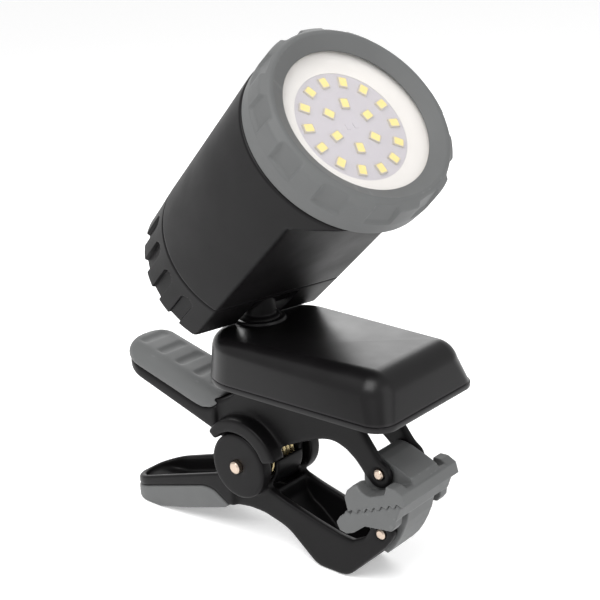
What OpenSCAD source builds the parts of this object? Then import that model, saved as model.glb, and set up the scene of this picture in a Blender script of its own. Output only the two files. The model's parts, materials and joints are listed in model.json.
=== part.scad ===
// Clip-on reading lamp: sprung clamp with swivelling jaw pads, battery box, swivel neck, tilting LED head.
// +X points to the jaws, +Y is sideways, +Z is up. The origin is the middle of the jaws' grip.

/* [Clamp] */
// radius of the pin that joins the two levers
main_pin_r = 2.1; // [1.6:0.1:2.6]
// radius of the pins that carry the jaw pads
jaw_pin_r = 1.7; // [1.3:0.1:2]
// radius of the round bosses on the lower lever
disc_r = 11.5; // [10:0.1:11.8]
// half width across the bosses
disc_y = 15; // [13.5:0.1:15.4]
// half width of both handles
handle_y = 11.6; // [11:0.1:12]
// how far the upper handle reaches back from the main pin
upper_reach = 59.8; // [56:0.1:62]
// how far the lower handle reaches back from the main pin
lower_reach = 61; // [60:0.1:61.6]
// corner radius of the handle tips
tip_r = 11; // [9:0.1:11.2]
// half width across the lever cheeks
cheek_y = 10; // [9.6:0.1:10.2]
// thickness of each cheek
cheek_t = 2.9; // [2.4:0.1:3]
// lean of the grip plane, up toward the front
grip_lean = 22.8; // [20:0.1:25]
// half width of the upper jaw pad
pad_y = 14.7; // [13:0.1:16]
// pitch of the meshing teeth
tooth_pitch = 3.1; // [2.6:0.1:3.6]
// height of the meshing teeth
tooth_h = 1.3; // [0.8:0.1:1.6]
// number of grooves across each handle grip
grip_grooves = 5; // [4:1:5]

/* [Spring] */
// middle radius of the spring coil
coil_r = 7.4; // [7:0.1:7.6]
// radius of the spring wire
wire_r = 0.75; // [0.6:0.05:0.8]
// whole turns in the coil, besides the part turn between the legs
coil_turns = 5; // [4:1:5]

/* [Battery box] */
// length of the box at its bottom edge
box_l = 78; // [76:0.1:80]
// half width of the box at its bottom edge
box_y = 25.3; // [24:0.1:26]
// height of the box
box_h = 15.8; // [15.8:0.1:17]
// wall thickness of the box shell
box_wall = 1.8; // [1.4:0.1:2]
// radius of one cell
cell_r = 5.25; // [5.1:0.05:5.25]
// length of one cell
cell_l = 44.5; // [43.5:0.1:44.5]

/* [Neck] */
// height of the tilt hinge above the main pin
hinge_z = 58.5; // [58.5:0.1:60]
// radius of the upright neck
neck_r = 5.6; // [5:0.1:5.6]
// radius of the tilt pin
tilt_pin_r = 2.2; // [1.8:0.1:2.4]
// upward lean of the head at rest
head_lean = 41; // [10:1:90]
// swing of the head at rest, negative toward -Y
head_turn = -11; // [-90:1:90]

/* [Head] */
// outer radius of the barrel
barrel_r = 31.4; // [31:0.1:32]
// distance from the head's axis to the flat on its underside
flat_d = 19.1; // [18.8:0.1:19.4]
// outer radius of the lens opening
lens_open_r = 23.3; // [22:0.1:24]
// number of LED chips on the outer ring
leds_outer = 14; // [12:1:16]
// number of LED chips on the inner ring
leds_inner = 6; // [5:1:7]
// number of grip recesses round the bezel
bezel_grips = 12; // [10:1:14]
// number of slots round the rear cap
cap_slots = 13; // [9:2:13]
// angle from one slot to the next
slot_step = 18.5; // [16:0.1:18.6]

/* [View] */
// which piece to draw, or all of them

/* [Hidden] */

$fn = 64;
black = [0.07, 0.07, 0.075];
grey = [0.28, 0.29, 0.3];
metal = [0.75, 0.74, 0.72];
e = 0.01;

// grip plane, upper and lower jaw pins, all from the main pin
grip = [56.8, 1.5];
upin = [55.3, 10.8];
lpin = [55.6, -9.4];
inner_y = cheek_y - cheek_t;

// box levels
bz0 = 32.2;
bz1 = bz0 + 2;
bz2 = bz0 + box_h;
bx0 = -9.2;
bx1 = bx0 + box_l;

// head layout: x runs along the head from the tilt hinge, the head's axis is axis_z above the hinge
axis_z = 12;
flat_z = axis_z - flat_d;
cap_x0 = -8.5;
seam_x = 9.1;
ring_x = 68.6;
front_x = 82;
slot_y = 9.1;

module place() translate([-grip[0], 0, -grip[1]]) children();

// a flat shape drawn in X and Z, given thickness from y0 to y1
module slab(y0, y1) translate([0, y1, 0]) rotate([90, 0, 0]) linear_extrude(height = y1 - y0) children();

module both(y0, y1) {
    slab(y0, y1) children();
    slab(-y1, -y0) children();
}

module ycyl(r, y0, y1, x = 0, z = 0) translate([x, y1, z]) rotate([90, 0, 0]) cylinder(r = r, h = y1 - y0);

module sector(a0, a1, r = 60) polygon([[0, 0], [r * cos(a0), r * sin(a0)],
    [1.5 * r * cos((a0 + a1) / 2), 1.5 * r * sin((a0 + a1) / 2)], [r * cos(a1), r * sin(a1)]]);

// plan of a handle: straight sides and a rounded tip
module handle_plan(reach, w, r, z0, z1) translate([0, 0, z0]) linear_extrude(height = z1 - z0) {
    translate([r - reach, -w]) square([reach - r - 4, 2 * w]);
    translate([-reach, r - w]) square([reach, 2 * w - 2 * r]);
    for (s = [-1, 1]) translate([r - reach, s * (w - r)]) circle(r);
}

// ---- clamp, drawn from the main pin ----

module crown_pts(d) polygon([[-upper_reach - 1, 27 - d], [-upper_reach - 0.2, 29.6 - d], [-59.2, 31.2 - d],
    [-57.8, 32 - d], [-55.6, 32 - d], [-42.7, 28.9 - d], [-8, 19.9 - d], [-8, 0], [-upper_reach - 1, 0]]);

// a bar along the slope of the upper handle, its top edges rounded to radius r
module crown_bar(w, r, d) translate([-42.7, 0, 28.9 - d]) rotate([0, 14.5, 0]) rotate([90, 0, 90])
    translate([0, 0, -30]) linear_extrude(height = 80) {
        translate([r - w, -30]) square([2 * w - 2 * r, 30]);
        translate([-w, -30]) square([2 * w, 30 - r]);
        for (s = [-1, 1]) translate([s * (w - r), -r]) circle(r);
    }

module upper_cheek() {
    polygon([[-16.5, 9.2], [-15.3, 8.8], [-8.3, 2.2], [8.4, 1.6], [12.2, 7.6], [20.8, 11.6], [29.8, 15.5],
        [32.8, 16.5], [36, 17.1], [38.9, 16.9], [42.5, 15.6], [45.9, 13.2], [48.3, 10.6], [50.2, 8.1],
        [54.8, 10.4], [58.4, 12.9], [55.2, 15.8], [51, 21.2], [42.6, 32.2], [1.5, 32.2], [-0.5, 28.6],
        [-3.2, 25], [-6.6, 22], [-11, 19.6], [-16.5, 19.2]]);
    translate([54.8, 10.4]) circle(4.6);
}

module upper_lever() color(black) place() difference() {
    union() {
        difference() {
            slab(-cheek_y, cheek_y) upper_cheek();
            // open underside between the cheeks
            slab(-inner_y, inner_y) difference() {
                polygon([[-30, -20], [-30, 15.9], [-9.6, 15.9], [-4.6, 19], [0, 23.6], [3.4, 29.7],
                    [47.5, 29.7], [90, 10], [90, -20]]);
                translate([26, 0]) square([2.4, 40]);
            }
            // the bosses of the other lever turn here
            both(cheek_y - 0.2, cheek_y + 1) circle(12.1);
        }
        // hubs that carry the coil and bear on the pin
        both(inner_y - 0.7, cheek_y - 0.2) circle(8.6);
        both(2.6, inner_y - 0.6) circle(5.6);
        // hoods over the bosses
        both(cheek_y - 0.6, disc_y + 0.7) difference() {
            intersection() {
                translate([1.3, 0.3]) circle(16.8);
                sector(19, 142, 40);
            }
            circle(12.1);
        }
        // handle
        difference() {
            union() {
                intersection() {
                    slab(-handle_y, handle_y) polygon([[-upper_reach, 25.6], [-upper_reach + 0.7, 23.9],
                        [-upper_reach + 3, 22.2], [-52.4, 20.5], [-12.5, 8], [-12.5, 17.6], [-14.3, 16.5],
                        [-18.6, 15.8], [-22.6, 16.6], [-34.5, 20], [-51.1, 24.6], [-upper_reach, 27]]);
                    handle_plan(upper_reach, handle_y, tip_r, 0, 40);
                }
                intersection() {
                    slab(-handle_y + 1.3, handle_y - 1.3) difference() {
                        crown_pts(2.2);
                        polygon([[-70, 0], [-70, 24], [-51.1, 23], [-22.6, 15.2], [-12.2, 14], [-12.2, 40],
                            [0, 40], [0, 0]]);
                    }
                    crown_bar(handle_y - 1.3, 5, 2.2);
                    handle_plan(upper_reach - 1.3, handle_y - 1.3, tip_r - 1.3, 0, 40);
                }
            }
            intersection() {
                slab(-handle_y + 3.8, handle_y - 3.8) difference() {
                    crown_pts(4.2);
                    translate([-17.5, 0]) square([20, 40]);
                }
                handle_plan(upper_reach - 2.8, handle_y - 2.8, tip_r - 2.8, -1, 40);
            }
            slab(-inner_y, inner_y) polygon([[-19, 0], [-19, 15.9], [-10, 15.9], [-10, 0]]);
        }
        // screw bosses under the box
        for (x = [5.5, 38]) translate([x, 0, 23.6]) cylinder(r = 3.2, h = 7);
        translate([2.6, -inner_y - 1, 23.6]) cube([5.8, 2 * inner_y + 2, 7]);
        translate([37, -inner_y - 1, 25]) cube([2, 2 * inner_y + 2, 6]);
    }
    ycyl(main_pin_r + 0.06, -20, 20);
    ycyl(jaw_pin_r + 0.01, -20, 20, upin[0], upin[1]);
    for (x = [5.5, 38]) translate([x, 0, 24.6]) cylinder(r = 1.22, h = 10);
}

module lower_arm() polygon([[6.6, -6.4], [10.5, -8.2], [16.6, -10.1], [29, -13.2], [38.5, -15.2], [44, -15.6],
    [49, -12.8], [51.6, -8.2], [53, -6.1], [55.6, -5.2], [58.4, -6], [60.2, -6.9], [60.7, -8.4], [59.4, -10.9],
    [57, -14.2], [43.1, -28], [41.2, -29.2], [39.2, -29.6], [29.8, -29.6], [27.6, -28.6], [18.6, -21.5],
    [16.6, -20.3], [14.3, -19.4],
    [7.2, -17.6], [0.6, -17.3], [-6.2, -18.3], [-9, -14], [-6.8, -6.6]]);

module lower_lever() color(black) place() difference() {
    union() {
        difference() {
            slab(-cheek_y, cheek_y) lower_arm();
            slab(-inner_y, inner_y) polygon([[11.2, 0], [11.6, -13.6], [14.4, -17.1], [17.7, -18.8],
                [28.2, -27.3], [39.4, -27.3], [41.2, -26.3], [47.2, -20.6], [49.4, -22.8], [80, -20],
                [80, 0]]);
            // room for the coil and for the hubs of the other lever
            slab(-cheek_y - 1, cheek_y + 1) circle(9);
            slab(-inner_y, inner_y) difference() {
                polygon([[-60, 20], [-60, -50], [-20, -21], [-9, -16.6], [0, -15.2], [9.4, -15.4], [9.9, -13],
                    [9.9, 20]]);
                difference() {
                    circle(11);
                    translate([-40, -20]) square([40.8, 60]);
                    translate([-20, -4.6]) square([60, 60]);
                }
            }
        }
        // bosses
        both(cheek_y, disc_y) circle(disc_r);
        both(inner_y, cheek_y + 0.1) intersection() {
            difference() {
                circle(disc_r);
                circle(9);
            }
            sector(202, 324, 30);
        }
        // guard in front of the coil
        slab(-inner_y + 0.2, inner_y - 0.2) intersection() {
            difference() {
                circle(10.8);
                circle(9.15);
            }
            sector(-62, 9, 30);
        }
        // handle trough
        difference() {
            union() {
                intersection() {
                    slab(-handle_y, handle_y) polygon([[-lower_reach, -23.8], [-lower_reach + 0.9, -22.6],
                        [-9.2, -6.4], [-6, -9], [-6, -18.2], [-8.8, -18.6], [-11.8, -17], [-15, -15.1],
                        [-18, -14.5], [-21, -14.7], [-52.8, -24.1], [-lower_reach, -26.2]]);
                    handle_plan(lower_reach, handle_y, tip_r, -40, 0);
                }
                intersection() {
                    slab(-handle_y + 1.3, handle_y - 1.3) polygon([[-64, -24.2], [-64, -25.4], [-58.5, -25.6],
                        [-55, -27], [-49.5, -27.3], [-12.8, -17.5], [-8.8, -18.6], [-8, -14], [-21, -12.6],
                        [-52, -22.2]]);
                    handle_plan(lower_reach - 1.3, handle_y - 1.3, tip_r - 1.3, -40, 0);
                }
            }
            intersection() {
                slab(-handle_y + 2.6, handle_y - 2.6) polygon([[-70, 0], [-70, -24], [-57.4, -24.1],
                    [-54.2, -25.3], [-49.4, -25.4], [-20, -17], [-12, -14.9], [-5, -16.2], [3, -12], [3, 0]]);
                handle_plan(lower_reach - 2.6, handle_y - 2.6, tip_r - 2.6, -40, 1);
            }
            slab(-cheek_y, cheek_y) circle(9);
        }
    }
    ycyl(main_pin_r + 0.01, -20, 20);
    ycyl(jaw_pin_r + 0.01, -20, 20, lpin[0], lpin[1]);
}

module upper_grip() color(grey) place() difference() {
    intersection() {
        slab(-handle_y - 0.3, handle_y + 0.3) difference() {
            crown_pts(0);
            polygon([[-70, 0], [-70, 28], [-upper_reach - 1, 27], [-upper_reach, 27], [-51.1, 24.6],
                [-34.5, 20], [-22.6, 16.6], [-18.6, 15.8], [-14.3, 16.5], [-12.5, 17.6], [-10.4, 19.5],
                [-9.6, 30], [0, 30], [0, 0]]);
        }
        handle_plan(upper_reach + 0.4, handle_y + 0.2, tip_r, 0, 40);
        crown_bar(handle_y + 0.2, 6.3, 0);
    }
    // hollow that fits the handle
    intersection() {
        slab(-handle_y + 1.3, handle_y - 1.3) crown_pts(2.2);
        handle_plan(upper_reach - 1.3, handle_y - 1.3, tip_r - 1.3, 0, 40);
        crown_bar(handle_y - 1.3, 5, 2.2);
    }
    slab(-cheek_y, cheek_y) {
        translate([-12.2, 0]) square([14, 40]);
        upper_cheek();
    }
    for (i = [0:grip_grooves - 1]) translate([-51.6 + i * 8.8, 0, 31.2 - i * 2.276 + 2.4]) rotate([90, 0, 0])
        cylinder(r = 3.2, h = 11.6, center = true);
}

module lower_grip() color(grey) place() difference() {
    intersection() {
        slab(-handle_y - 0.3, handle_y + 0.3) polygon([[-lower_reach, -26.2], [-59.6, -28], [-57.2, -29.3],
            [-54.4, -29.6], [-44, -29.6], [-30.3, -26.1], [-10.6, -20], [-8.8, -18.7], [-11.8, -17],
            [-15, -15.1], [-18, -14.5], [-21, -14.7], [-52.8, -24.1]]);
        handle_plan(lower_reach, handle_y + 0.2, tip_r, -40, 0);
    }
    intersection() {
        slab(-handle_y + 1.3, handle_y - 1.3) polygon([[-64, -10], [-64, -25.4], [-58.5, -25.6], [-55, -27],
            [-49.5, -27.3], [-12.8, -17.5], [-8.8, -18.6], [-4, -10]]);
        handle_plan(lower_reach - 1.3, handle_y - 1.3, tip_r - 1.3, -41, 1);
    }
    slab(-cheek_y, cheek_y) lower_arm();
    for (i = [0:grip_grooves - 2]) translate([-38.6 + i * 7.6, 0, -28.2 + i * 1.95 - 2.4]) rotate([90, 0, 0])
        cylinder(r = 3, h = 16, center = true);
}

// zig-zag from s0 to s1 along the grip, shifted by d
function zig(s0, s1, d) = [for (i = [ceil(2 * s0 / tooth_pitch):floor(2 * s1 / tooth_pitch)])
    [i * tooth_pitch / 2, (i % 2 == 0 ? 1 : -1) * tooth_h / 2 + d]];
function back(v) = [for (i = [len(v) - 1:-1:0]) v[i]];

module on_grip() translate([grip[0], 0, grip[1]]) rotate([0, -grip_lean, 0]) children();

module upper_jaw_pad() color(grey) place() difference() {
    on_grip() union() {
        slab(-pad_y, pad_y) polygon(concat([[-10.9, 0.4]], zig(-10.5, 11.4, 0.06), [[12.2, -0.7], [12.6, 3],
            [11.4, 4], [-10.3, 4]]));
        both(10.4, pad_y) polygon([[-10.9, 1], [-10.3, 5.2], [-8.4, 7.2], [-5, 8.5], [-2, 8.5], [2.5, 7.8],
            [8, 6.4], [10.5, 5.4], [12.6, 3], [12.4, 1]]);
        slab(-inner_y + 0.2, inner_y - 0.2) polygon([[12.5, 2.6], [11.3, 5.8], [8.7, 8.6], [6.6, 10.5],
            [4.4, 12.6], [2, 14.3], [-0.4, 15.1], [-3, 14], [-5.4, 11.4], [-7, 8], [-8.2, 3.6]]);
    }
    ycyl(jaw_pin_r + 0.05, -20, 20, upin[0], upin[1]);
}

module lower_jaw_pad() color(grey) place() difference() {
    on_grip() union() {
        slab(-pad_y + 0.6, pad_y - 0.6) polygon(concat([[-17.9, -2.6]], [[-15.6, -0.9]], zig(-14.5, 9.4, -0.06),
            [[9.4, -1.4], [6.6, -4.6], [-17.2, -4.6]]));
        both(10.4, pad_y - 0.6) polygon([[-17.9, -2.6], [-17.6, -5.4], [-15.5, -6.8], [-12.4, -6.8],
            [-6.8, -5.2], [3.2, -7.8], [5.2, -6.6], [6.5, -4], [6.9, -2]]);
        slab(-inner_y + 0.2, inner_y - 0.2) polygon([[6.6, -4], [3.9, -7.9], [1.2, -10.7], [-1.5, -13.1],
            [-4.6, -15.3], [-8.2, -17.1], [-10.4, -15.4], [-12, -11], [-12.4, -4]]);
    }
    ycyl(jaw_pin_r + 0.05, -20, 20, lpin[0], lpin[1]);
}

// a pin with softly coned ends
module pin(r, y, x, z) translate([x, 0, z]) rotate([90, 0, 0]) rotate_extrude()
    polygon([[0, -y], [r - 0.5, -y], [r, -y + 0.4], [r, y - 0.4], [r - 0.5, y], [0, y]]);

module main_pin() color(metal) place() pin(main_pin_r, disc_y + 1.6, 0, 0);

module upper_jaw_pin() color(metal) place() pin(jaw_pin_r, cheek_y + 0.5, upin[0], upin[1]);

module lower_jaw_pin() color(metal) place() pin(jaw_pin_r, cheek_y + 0.5, lpin[0], lpin[1]);

// spring: a lower leg, a coil round the main pin, an upper leg
leg_a0 = -70.8;
leg_a1 = 69.8;
leg_l = 45;
coil_sweep = 360 * coil_turns + leg_a1 - leg_a0;
coil_n = 24 * (coil_turns + 0.4);
coil_w = 10.2;
function coil_c(t) = let(a = leg_a0 + coil_sweep * t) [coil_r * cos(a), coil_w * (t - 0.5), coil_r * sin(a)];
function tang(a) = [-sin(a), 0, cos(a)];
path = concat([[coil_c(0) - leg_l * tang(leg_a0), leg_a0]],
    [for (i = [0:coil_n]) [coil_c(i / coil_n), leg_a0 + coil_sweep * i / coil_n]],
    [[coil_c(1) + leg_l * tang(leg_a1), leg_a1]]);
sides = 10;
ring_pts = [for (p = path, k = [0:sides - 1]) let(b = 360 * k / sides)
    p[0] + wire_r * (cos(b) * [cos(p[1]), 0, sin(p[1])] + sin(b) * [0, 1, 0])];
ring_faces = concat([[for (k = [0:sides - 1]) k]],
    [for (i = [0:len(path) - 2], k = [0:sides - 1], h = [0, 1]) let(a = i * sides + k,
        b = i * sides + (k + 1) % sides) h == 0 ? [a, a + sides, b + sides] : [a, b + sides, b]],
    [[for (k = [sides - 1:-1:0]) (len(path) - 1) * sides + k]]);

module torsion_spring() color([0.7, 0.6, 0.4]) place() polyhedron(points = ring_pts, faces = ring_faces);

// ---- battery box ----

module box_plan(d, z0, z1) hull() {
    for (s = [-1, 1]) {
        translate([bx0 + 17.2, s * (box_y - 17.2), z0]) cylinder(r = 17.2 - d, h = z1 - z0, $fn = 96);
        translate([bx1 - 7, s * (box_y - 7), z0]) cylinder(r = 7 - d, h = z1 - z0, $fn = 40);
    }
}

module box_form(d) hull() {
    for (s = [-1, 1]) {
        translate([bx0 + 17.2, s * (box_y - 17.2), bz1 - e]) cylinder(r = 17 - d, h = e, $fn = 96);
        translate([bx1 - 7, s * (box_y - 7), bz1 - e]) cylinder(r = 6.5 - d, h = e, $fn = 40);
        translate([bx0 + 17.5, s * (box_y - 17.5), bz2 - 4.5]) rotate_extrude($fn = 96)
            translate([12, 0]) circle(4.5 - d, $fn = 32);
        // the front rolls over in a large round
        translate([bx1 - 10.6, s * (box_y - 10.4), bz2 - 8.2]) intersection() {
            sphere(8.2 - d, $fn = 56);
            translate([-10, -10, 0]) cube([20, 20, 10]);
        }
    }
}

boss_rear = [1, 13];
boss_front = [60.8, 16];

module box_shell() color(black) place() difference() {
    union() {
        difference() {
            box_form(0);
            difference() {
                box_form(box_wall);
                for (s = [-1, 1]) {
                    translate([boss_rear[0], s * boss_rear[1], bz1]) cylinder(r = 3, h = 13);
                    translate([boss_front[0], s * boss_front[1], bz1]) cylinder(r = 3, h = 13);
                }
                translate([0, 0, bz2 - 3.8]) cylinder(r = 8.2, h = 4);
            }
        }
        // raised ring round the neck
        translate([0, 0, bz2 - 0.6]) rotate_extrude() polygon([[7.12, 0], [8.7, 0], [8.7, 1], [8.4, 1.5],
            [7.9, 1.8], [7.4, 1.8], [7.12, 1.6]]);
    }
    translate([0, 0, bz2 - 5]) cylinder(r = 4.06, h = 8);
    for (s = [-1, 1]) {
        translate([boss_rear[0], s * boss_rear[1], bz1 - 1]) cylinder(r = 1.25, h = 9);
        translate([boss_front[0], s * boss_front[1], bz1 - 1]) cylinder(r = 1.25, h = 6.4);
    }
}

module box_base() color(black) place() difference() {
    union() {
        box_plan(0, bz0, bz1 - 0.05);
        for (s = [-1, 1]) translate([15, s * 5.75 - 0.35, bz1 - 0.2]) cube([42, 0.7, 3.6]);
        translate([9.6, -17.4, bz1 - 0.2]) cube([1.6, 34.8, 9.6]);
        translate([59.1, -16, bz1 - 0.2]) cube([1, 32, 7.4]);
    }
    for (s = [-1, 1]) {
        for (b = [boss_rear, boss_front]) translate([b[0], s * b[1], bz0 - 1]) {
            cylinder(r = 1.45, h = 20);
            cylinder(r = 2.8, h = 2.2);
        }
        translate([boss_front[0], s * boss_front[1], bz1 - 0.05]) cylinder(r = 3.1, h = 20);
    }
    for (x = [5.5, 38]) translate([x, 0, bz0 - 1]) {
        cylinder(r = 1.45, h = 6);
        translate([0, 0, 2.1]) cylinder(r = 2.9, h = 6);
    }
}

// countersunk-free pan screw: head down, shank up
module screw(hr, hh, r, l) {
    difference() {
        cylinder(r = hr, h = hh);
        for (a = [0, 90]) rotate(a) translate([-hr * 0.6, -0.3, -1]) cube([hr * 1.2, 0.6, 1.6]);
    }
    translate([0, 0, hh - e]) cylinder(r = r, h = l);
}

module shell_screws() color(metal) place() for (s = [-1, 1]) {
    translate([boss_rear[0], s * boss_rear[1], bz0 + 0.1]) screw(2.5, 1.1, 1.2, 8.4);
    translate([boss_front[0], s * boss_front[1], bz0 + 0.1]) screw(2.5, 1.1, 1.2, 6);
}

module lever_screws() color(metal) place() for (x = [5.5, 38]) translate([x, 0, bz0 + 2.35])
    rotate([180, 0, 0]) screw(2.6, 1.2, 1.2, 8);

cell_x = 13.6;
cell_z = bz0 + 8.1;
module cell(y) color([0.2, 0.35, 0.3]) place() translate([cell_x, y, cell_z]) rotate([0, 90, 0]) {
    cylinder(r = cell_r, h = cell_l - 1);
    cylinder(r = 1.9, h = cell_l);
}

module battery_cell_1() cell(-11.5);

module battery_cell_2() cell(0);

module battery_cell_3() cell(11.5);

module rear_contacts() color(metal) place() {
    translate([11.25, -16.5, bz1 + 0.4]) cube([0.5, 33, 8.6]);
    for (y = [-11.5, 0, 11.5]) translate([11.7, y, cell_z]) rotate([0, 90, 0]) rotate_extrude()
        polygon([[2.6, 0], [3.6, 0], [3.3, 0.9], [2.8, 1.85], [1.8, 1.85], [2.3, 0.9]]);
}

module front_contacts() color(metal) place() for (y = [-8, 11.5])
    translate([58.15, y < 0 ? -13.2 : 7, bz1 + 0.4]) cube([0.45, y < 0 ? 18.8 : 6.2, 6.6]);

// ---- neck ----

module neck() color(black) place() difference() {
    union() {
        translate([0, 0, bz2]) rotate_extrude() polygon([[0, -6.8], [3.6, -6.8], [4, -6.4], [4, -5.6], [3.3, -5.6],
            [3.3, -4.4], [4, -4.4], [4, 0.06], [7, 0.06], [7, 1.2], [6.6, 1.8], [neck_r, 2.4],
            [neck_r, hinge_z - bz2], [0, hinge_z - bz2]]);
        rotate([0, 0, head_turn]) ycyl(5.8, -slot_y + 0.15, slot_y - 0.15, 0, hinge_z);
    }
    rotate([0, 0, head_turn]) ycyl(tilt_pin_r + 0.05, -20, 20, 0, hinge_z);
}

module neck_washer() color(metal) place() translate([0, 0, bz2 - 4.37]) difference() {
    cylinder(r = 5.85, h = 0.55);
    translate([0, 0, -1]) cylinder(r = 4.05, h = 3);
}

module neck_retainer() color(metal) place() translate([0, 0, bz2 - 5.58]) difference() {
    cylinder(r = 5.85, h = 1.16);
    translate([0, 0, -1]) cylinder(r = 3.32, h = 4);
    translate([0, -1.5, -1]) cube([10, 3, 4]);
}

module head() place() translate([0, 0, hinge_z]) rotate([0, 0, head_turn]) rotate([0, -head_lean, 0]) children();

module tilt_pin() color(metal) head() pin(tilt_pin_r, 12.2, 0, 0);

// ---- head: x along the head, from the tilt hinge ----

// turns a profile of [x, radius] round the head's axis
module turned(pts) translate([0, 0, axis_z]) rotate([0, 90, 0]) rotate_extrude($fn = 96)
    polygon([for (p = pts) [p[1], p[0]]]);

module xcyl(r, x0, x1, y = 0, z = 0) translate([x0, y, z]) rotate([0, 90, 0]) cylinder(r = r, h = x1 - x0);

// everything farther than d from the axis on the flat's side
module flat_side(d, x0, x1) translate([x0, -50, axis_z - 60]) cube([x1 - x0, 100, 60 - d]);

boss_at = [for (a = [70, 180, 290]) [25.6 * sin(a), -25.6 * cos(a)]];

module barrel() color(black) head() difference() {
    union() {
        difference() {
            turned([[seam_x, 0], [seam_x, barrel_r - 0.35], [seam_x + 0.4, barrel_r], [ring_x - 0.7, barrel_r],
                [ring_x - 0.05, barrel_r - 0.7], [ring_x - 0.05, 27.6], [75.8, 27.6], [75.8, 0]]);
            // the flat, with a ramp out to the bezel
            slab(-50, 50) polygon([[seam_x - 1, flat_z], [58.2, flat_z], [59.7, flat_z - 0.6], [61, flat_z - 1.6],
                [ring_x, flat_z - 8.85], [ring_x, -50], [seam_x - 1, -50]]);
            difference() {
                turned([[seam_x - 1, 0], [seam_x - 1, 29], [ring_x - 3.6, 29], [ring_x - 0.6, 25], [71.9, 25],
                    [71.9, 26.6], [76, 26.6], [76, 0]]);
                slab(-50, 50) polygon([[seam_x - 2, flat_z + 2], [60.1, flat_z + 2], [ring_x, flat_z - 6],
                    [ring_x, -50], [seam_x - 2, -50]]);
            }
        }
        for (b = boss_at) intersection() {
            xcyl(3.9, seam_x + 3.2, seam_x + 16, b[0], axis_z + b[1]);
            turned([[0, 0], [0, 30], [60, 30], [60, 0]]);
        }
    }
    for (b = boss_at) xcyl(1.25, seam_x + 2, seam_x + 15, b[0], axis_z + b[1]);
}

module bezel_ring() color(grey) head() difference() {
    turned([[ring_x, 27.66], [ring_x, 30.6], [ring_x + 0.9, 31.1], [76.5, 31.2], [79.6, 30.9], [81.2, 29.9],
        [81.9, 28.6], [82, 27.6], [81.6, 26.6], [79.6, 23.8], [79.2, lens_open_r], [78.95, lens_open_r],
        [78.95, 26.2], [76.1, 26.2], [76.1, 27.66]]);
    for (i = [0:bezel_grips - 1]) translate([0, 0, axis_z]) rotate([360 * (i + 0.5) / bezel_grips, 0, 0])
        translate([74.6, -4.2, 30.5]) rotate([0, 8, 0]) cube([12, 8.4, 3]);
}

module lens_seal() color([0.1, 0.1, 0.1]) head() turned([[78.52, 24.3], [78.94, 24.3], [78.94, 26.1], [78.52, 26.1]]);

module lens() color([0.9, 0.95, 1, 0.35]) head() turned([[77.4, 0], [77.4, 26.1], [78.5, 26.1], [78.5, 0]]);

module reflector() color([0.93, 0.93, 0.9]) head() turned([[75.52, 18.1], [75.52, 20.3], [73.95, 20.3], [73.95, 26.1],
    [77.38, 26.1], [77.38, 24.4], [76.9, 23.4], [76.3, 21.4], [75.9, 19.4], [75.75, 18.1]]);

module led_board() color([0.8, 0.78, 0.84]) head() union() {
    xcyl(20.1, 73.92, 75.5, 0, axis_z);
    for (y = [-1.4, 1.4]) translate([75.4, y - 0.6, axis_z - 0.9]) cube([0.25, 1.2, 1.8]);
}

// one chip: pale body with its long side radial
module chips(count, r, a0) for (i = [0:count - 1]) translate([0, 0, axis_z])
    rotate([a0 + 360 * i / count, 0, 0]) translate([75.5, -1.4, -r - 1.75]) cube([0.7, 2.8, 3.5]);

module led_chips() color([0.95, 0.85, 0.35]) head() {
    chips(leds_outer, 15, 6.8);
    chips(leds_inner, 7.5, 48.6);
}

module heat_sink() color(metal) head() difference() {
    xcyl(26.5, 71.92, 73.9, 0, axis_z);
    for (a = [40, 160, 280]) xcyl(1, 70, 73, 17 * sin(a), axis_z - 17 * cos(a));
    xcyl(2.2, 70, 75, 0, axis_z + 12);
}

module standoffs() color(metal) head() for (a = [40, 160, 280]) xcyl(2, 62, 71.9, 17 * sin(a), axis_z - 17 * cos(a));

module driver_board() color([0.1, 0.35, 0.2]) head() difference() {
    union() {
        intersection() {
            xcyl(21, 60.4, 61.98, 0, axis_z);
            translate([59, -30, axis_z - 16.4]) cube([4, 60, 60]);
        }
        translate([55.4, -9, axis_z - 6]) cube([5.2, 7, 8]);
        xcyl(4, 51.4, 60.6, 7, axis_z + 4);
        translate([58.4, 2, axis_z - 9]) cube([2.2, 8, 5]);
    }
    for (a = [160]) xcyl(0.8, 60, 63, 17 * sin(a), axis_z - 17 * cos(a));
}

button_z = axis_z + 5;
button_r = 6.4;

module slot_cut() {
    // a recess with a round inner end, open at the rear
    translate([-20, -2.35, barrel_r - 1.7]) cube([22.5, 4.7, 6]);
    translate([2.5, 0, barrel_r - 1.7]) cylinder(r = 2.35, h = 6);
}

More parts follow.
